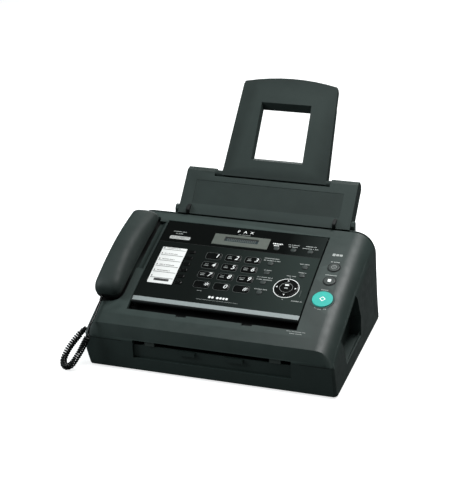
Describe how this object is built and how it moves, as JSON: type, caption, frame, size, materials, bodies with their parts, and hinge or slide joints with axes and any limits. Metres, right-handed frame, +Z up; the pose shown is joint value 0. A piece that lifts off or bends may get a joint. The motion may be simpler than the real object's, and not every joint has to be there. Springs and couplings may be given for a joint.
{
  "type": "laser fax machine",
  "caption": "Desktop plain-paper fax with a sloping key panel, corded handset on its left, rear document tray and fold-up paper support.",
  "frame": {"origin": "middle of the machine on the surface it stands on, the free handset cord left out", "axes": "+X to the user's right, +Y towards the back, +Z up"},
  "size_m": [0.4742, 0.5057, 0.376],
  "materials": {
    "card": "printed card under clear film",
    "cord": "smooth black jacket",
    "cover": "fine textured charcoal",
    "display": "satin grey frame and pale window",
    "engine": "moulded black",
    "gloss": "polished black",
    "grey_key": "satin grey",
    "handset": "fine textured charcoal",
    "handset_dark": "satin black",
    "housing": "fine textured charcoal",
    "key": "smooth black",
    "roller": "ground black rubber",
    "rubber": "moulded black",
    "silver": "painted silver",
    "socket": "moulded black",
    "start_key": "translucent green"
  },
  "bodies": {
    "base": {"base_housing": "housing", "rear_housing": "housing", "foot_front_left": "rubber", "foot_front_right": "rubber", "foot_rear_left": "rubber", "foot_rear_right": "rubber", "power_inlet": "socket", "line_jack": "socket", "toner_cartridge": "engine", "fuser_unit": "engine"},
    "cover": {"top_cover": "cover", "image_sensor": "gloss", "handset_cord_lead": "cord", "handset_cord_coil": "cord", "base_plug": "cord"},
    "panel": {"operation_panel": "gloss", "panel_lip": "silver", "display_bezel": "display", "station_card": "card"},
    "tray": {"rear_tray": "housing"},
    "support": {"paper_support": "housing"},
    "left_guide": {"left_document_guide": "handset_dark"},
    "right_guide": {"right_document_guide": "handset_dark"},
    "handset": {"handset_outer_shell": "handset", "handset_inner_shell": "handset_dark", "handset_plug": "cord"},
    "hook": {"hook_switch": "handset_dark"},
    "exit_roller": {"paper_exit_roller": "roller"},
    "feed_roller": {"document_roller": "roller"},
    "dial_key_star_body": {"dial_key_star": "key"},
    "dial_key_0_body": {"dial_key_0": "key"},
    "dial_key_hash_body": {"dial_key_hash": "key"},
    "dial_key_7_body": {"dial_key_7": "key"},
    "dial_key_8_body": {"dial_key_8": "key"},
    "dial_key_9_body": {"dial_key_9": "key"},
    "dial_key_4_body": {"dial_key_4": "key"},
    "dial_key_5_body": {"dial_key_5": "key"},
    "dial_key_6_body": {"dial_key_6": "key"},
    "dial_key_1_body": {"dial_key_1": "key"},
    "dial_key_2_body": {"dial_key_2": "key"},
    "dial_key_3_body": {"dial_key_3": "key"},
    "monitor_key_body": {"monitor_key": "grey_key"},
    "redial_key_body": {"redial_key": "grey_key"},
    "flash_key_body": {"flash_key": "grey_key"},
    "hold_key_body": {"hold_key": "grey_key"},
    "receive_mode_key_body": {"receive_mode_key": "grey_key"},
    "caller_id_key_body": {"caller_id_key": "grey_key"},
    "quick_scan_key_body": {"quick_scan_key": "grey_key"},
    "lower_key_body": {"lower_key": "grey_key"},
    "menu_key_body": {"menu_key": "grey_key"},
    "one_touch_key_6_body": {"one_touch_key_6": "key"},
    "one_touch_key_5_body": {"one_touch_key_5": "key"},
    "one_touch_key_4_body": {"one_touch_key_4": "key"},
    "one_touch_key_3_body": {"one_touch_key_3": "key"},
    "one_touch_key_2_body": {"one_touch_key_2": "key"},
    "one_touch_key_1_body": {"one_touch_key_1": "key"},
    "navigator_key_body": {"navigator_key": "key"},
    "start_key_body": {"start_key": "start_key"},
    "stop_key_body": {"stop_key": "grey_key"},
    "copy_key_body": {"copy_key": "grey_key"}
  },
  "joints": [
    {"name": "cover_hinge", "type": "hinge", "parent": "base", "child": "cover", "pos_m": [0.00239, 0.04125, 0.169], "axis": [-1, 0, 0], "range_deg": [0, 50]},
    {"name": "panel_hinge", "type": "hinge", "parent": "cover", "child": "panel", "pos_m": [0.00239, 0.01499, 0.16023], "axis": [-1, 0, 0], "range_deg": [0, 40]},
    {"name": "tray_hinge", "type": "hinge", "parent": "base", "child": "tray", "pos_m": [0.00239, 0.05655, 0.1759], "axis": [-1, 0, 0], "range_deg": [-20, 0]},
    {"name": "support_hinge", "type": "hinge", "parent": "tray", "child": "support", "pos_m": [0.00239, 0.10746, 0.22681], "axis": [-1, 0, 0], "range_deg": [-90, 0]},
    {"name": "handset_lift", "type": "slide", "parent": "cover", "child": "handset", "axis": [0, -0.3224, 0.9466], "range_m": [0, 0.06]},
    {"name": "hook_slide", "type": "slide", "parent": "cover", "child": "hook", "axis": [0, -0.3224, 0.9466], "range_m": [0, 0.003]},
    {"name": "left_guide_slide", "type": "slide", "parent": "tray", "child": "left_guide", "axis": [1, 0, 0], "range_m": [0, 0.02]},
    {"name": "right_guide_slide", "type": "slide", "parent": "tray", "child": "right_guide", "axis": [1, 0, 0], "range_m": [-0.02, 0]},
    {"name": "exit_roller_spin", "type": "hinge", "parent": "base", "child": "exit_roller", "pos_m": [0.00239, -0.20325, 0.066], "axis": [1, 0, 0], "continuous": true},
    {"name": "feed_roller_spin", "type": "hinge", "parent": "cover", "child": "feed_roller", "pos_m": [0.00239, -0.0777, 0.10972], "axis": [1, 0, 0], "continuous": true},
    {"name": "dial_key_star_press", "type": "slide", "parent": "panel", "child": "dial_key_star_body", "axis": [0, 0.3475, -0.9377], "range_m": [0, 0.0012], "stiffness_N_per_m": 900},
    {"name": "dial_key_0_press", "type": "slide", "parent": "panel", "child": "dial_key_0_body", "axis": [0, 0.3475, -0.9377], "range_m": [0, 0.0012], "stiffness_N_per_m": 900},
    {"name": "dial_key_hash_press", "type": "slide", "parent": "panel", "child": "dial_key_hash_body", "axis": [0, 0.3475, -0.9377], "range_m": [0, 0.0012], "stiffness_N_per_m": 900},
    {"name": "dial_key_7_press", "type": "slide", "parent": "panel", "child": "dial_key_7_body", "axis": [0, 0.335, -0.9422], "range_m": [0, 0.0012], "stiffness_N_per_m": 900},
    {"name": "dial_key_8_press", "type": "slide", "parent": "panel", "child": "dial_key_8_body", "axis": [0, 0.335, -0.9422], "range_m": [0, 0.0012], "stiffness_N_per_m": 900},
    {"name": "dial_key_9_press", "type": "slide", "parent": "panel", "child": "dial_key_9_body", "axis": [0, 0.335, -0.9422], "range_m": [0, 0.0012], "stiffness_N_per_m": 900},
    {"name": "dial_key_4_press", "type": "slide", "parent": "panel", "child": "dial_key_4_body", "axis": [0, 0.3224, -0.9466], "range_m": [0, 0.0012], "stiffness_N_per_m": 900},
    {"name": "dial_key_5_press", "type": "slide", "parent": "panel", "child": "dial_key_5_body", "axis": [0, 0.3224, -0.9466], "range_m": [0, 0.0012], "stiffness_N_per_m": 900},
    {"name": "dial_key_6_press", "type": "slide", "parent": "panel", "child": "dial_key_6_body", "axis": [0, 0.3224, -0.9466], "range_m": [0, 0.0012], "stiffness_N_per_m": 900},
    {"name": "dial_key_1_press", "type": "slide", "parent": "panel", "child": "dial_key_1_body", "axis": [0, 0.3096, -0.9509], "range_m": [0, 0.0012], "stiffness_N_per_m": 900},
    {"name": "dial_key_2_press", "type": "slide", "parent": "panel", "child": "dial_key_2_body", "axis": [0, 0.3096, -0.9509], "range_m": [0, 0.0012], "stiffness_N_per_m": 900},
    {"name": "dial_key_3_press", "type": "slide", "parent": "panel", "child": "dial_key_3_body", "axis": [0, 0.3096, -0.9509], "range_m": [0, 0.0012], "stiffness_N_per_m": 900},
    {"name": "monitor_key_press", "type": "slide", "parent": "panel", "child": "monitor_key_body", "axis": [0, 0.3486, -0.9373], "range_m": [0, 0.0012], "stiffness_N_per_m": 900},
    {"name": "redial_key_press", "type": "slide", "parent": "panel", "child": "redial_key_body", "axis": [0, 0.3362, -0.9418], "range_m": [0, 0.0012], "stiffness_N_per_m": 900},
    {"name": "flash_key_press", "type": "slide", "parent": "panel", "child": "flash_key_body", "axis": [0, 0.3236, -0.9462], "range_m": [0, 0.0012], "stiffness_N_per_m": 900},
    {"name": "hold_key_press", "type": "slide", "parent": "panel", "child": "hold_key_body", "axis": [0, 0.3108, -0.9505], "range_m": [0, 0.0012], "stiffness_N_per_m": 900},
    {"name": "receive_mode_key_press", "type": "slide", "parent": "panel", "child": "receive_mode_key_body", "axis": [0, 0.2887, -0.9574], "range_m": [0, 0.0012], "stiffness_N_per_m": 900},
    {"name": "caller_id_key_press", "type": "slide", "parent": "panel", "child": "caller_id_key_body", "axis": [0, 0.2887, -0.9574], "range_m": [0, 0.0012], "stiffness_N_per_m": 900},
    {"name": "quick_scan_key_press", "type": "slide", "parent": "panel", "child": "quick_scan_key_body", "axis": [0, 0.2887, -0.9574], "range_m": [0, 0.0012], "stiffness_N_per_m": 900},
    {"name": "lower_key_press", "type": "slide", "parent": "panel", "child": "lower_key_body", "axis": [0, 0.322, -0.9467], "range_m": [0, 0.0012], "stiffness_N_per_m": 900},
    {"name": "menu_key_press", "type": "slide", "parent": "panel", "child": "menu_key_body", "axis": [0, 0.311, -0.9504], "range_m": [0, 0.0012], "stiffness_N_per_m": 900},
    {"name": "one_touch_key_6_press", "type": "slide", "parent": "panel", "child": "one_touch_key_6_body", "axis": [0, 0.3486, -0.9373], "range_m": [0, 0.0012], "stiffness_N_per_m": 900},
    {"name": "one_touch_key_5_press", "type": "slide", "parent": "panel", "child": "one_touch_key_5_body", "axis": [0, 0.3405, -0.9402], "range_m": [0, 0.0012], "stiffness_N_per_m": 900},
    {"name": "one_touch_key_4_press", "type": "slide", "parent": "panel", "child": "one_touch_key_4_body", "axis": [0, 0.3324, -0.9431], "range_m": [0, 0.0012], "stiffness_N_per_m": 900},
    {"name": "one_touch_key_3_press", "type": "slide", "parent": "panel", "child": "one_touch_key_3_body", "axis": [0, 0.3242, -0.946], "range_m": [0, 0.0012], "stiffness_N_per_m": 900},
    {"name": "one_touch_key_2_press", "type": "slide", "parent": "panel", "child": "one_touch_key_2_body", "axis": [0, 0.3159, -0.9488], "range_m": [0, 0.0012], "stiffness_N_per_m": 900},
    {"name": "one_touch_key_1_press", "type": "slide", "parent": "panel", "child": "one_touch_key_1_body", "axis": [0, 0.3076, -0.9515], "range_m": [0, 0.0012], "stiffness_N_per_m": 900},
    {"name": "navigator_key_press", "type": "slide", "parent": "panel", "child": "navigator_key_body", "axis": [0, 0.34, -0.9404], "range_m": [0, 0.0012], "stiffness_N_per_m": 1200},
    {"name": "start_key_press", "type": "slide", "parent": "cover", "child": "start_key_body", "axis": [0, 0.3475, -0.9377], "range_m": [0, 0.0012], "stiffness_N_per_m": 1200},
    {"name": "stop_key_press", "type": "slide", "parent": "cover", "child": "stop_key_body", "axis": [0, 0.3059, -0.9521], "range_m": [0, 0.0012], "stiffness_N_per_m": 900},
    {"name": "copy_key_press", "type": "slide", "parent": "cover", "child": "copy_key_body", "axis": [0, 0.324, -0.946], "range_m": [0, 0.0012], "stiffness_N_per_m": 900}
  ],
  "couplings": [
    {"joint": "right_guide_slide", "follows": "left_guide_slide", "ratio": -1},
    {"joint": "hook_slide", "follows": "handset_lift", "ratio": 0.05}
  ]
}
